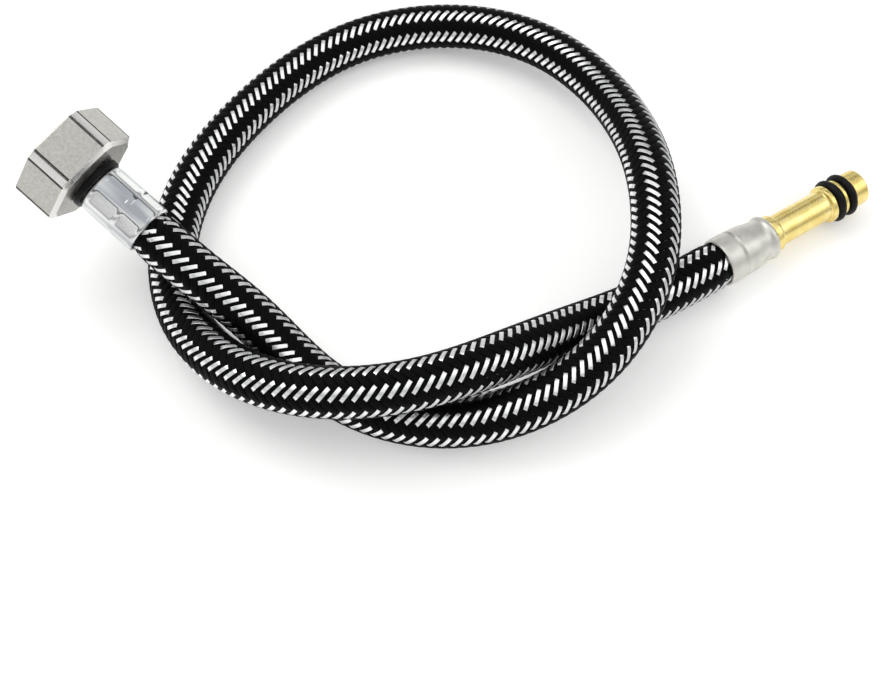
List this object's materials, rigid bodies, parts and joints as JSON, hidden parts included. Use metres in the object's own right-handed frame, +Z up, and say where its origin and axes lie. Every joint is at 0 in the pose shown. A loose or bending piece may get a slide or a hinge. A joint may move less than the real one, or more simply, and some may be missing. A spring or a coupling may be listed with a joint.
{
  "type": "braided supply line",
  "caption": "Flexible braided faucet tail hose in a loose knot, with a hexagon swivel nut at its inlet and a brass push-in tail with O-rings at its outlet.",
  "frame": {"origin": "on the surface that the line lies on, at the middle of the box around its two end fittings", "axes": "+Z up; the inlet's swivel nut opens towards -X, 6.2 degrees towards -Y and 22 degrees up, and the outlet's tail points along +Y and 14.9 degrees towards +X"},
  "size_m": [0.1438, 0.1564, 0.0485],
  "materials": {
    "braid": "black nylon and stainless wire braid",
    "inner_rubber": "smooth EPDM",
    "crimped_steel": "polished, with crimp flats",
    "stainless": "satin, finely speckled",
    "satin_steel": "satin",
    "black_rubber": "satin",
    "black_plastic": "satin moulded",
    "brass": "bright machined"
  },
  "bodies": {
    "line": {"braid_jacket": "braid", "inner_tube": "inner_rubber", "inlet_ferrule": "crimped_steel", "inlet_nipple": "stainless", "sealing_washer": "black_rubber", "outlet_ferrule": "satin_steel", "outlet_tail": "brass", "o_ring_inner": "black_rubber", "o_ring_outer": "black_rubber"},
    "slip_ring": {"nut_slip_ring": "black_plastic"},
    "nut": {"swivel_nut": "stainless"}
  },
  "joints": [
    {"name": "nut_float", "type": "slide", "parent": "line", "child": "slip_ring", "axis": [-0.9219, -0.1002, 0.3741], "range_m": [0, 0.0012]},
    {"name": "nut_spin", "type": "hinge", "parent": "slip_ring", "child": "nut", "pos_m": [-0.0401, -0.0621, 0.0259], "axis": [-0.9219, -0.1002, 0.3741], "continuous": true}
  ]
}
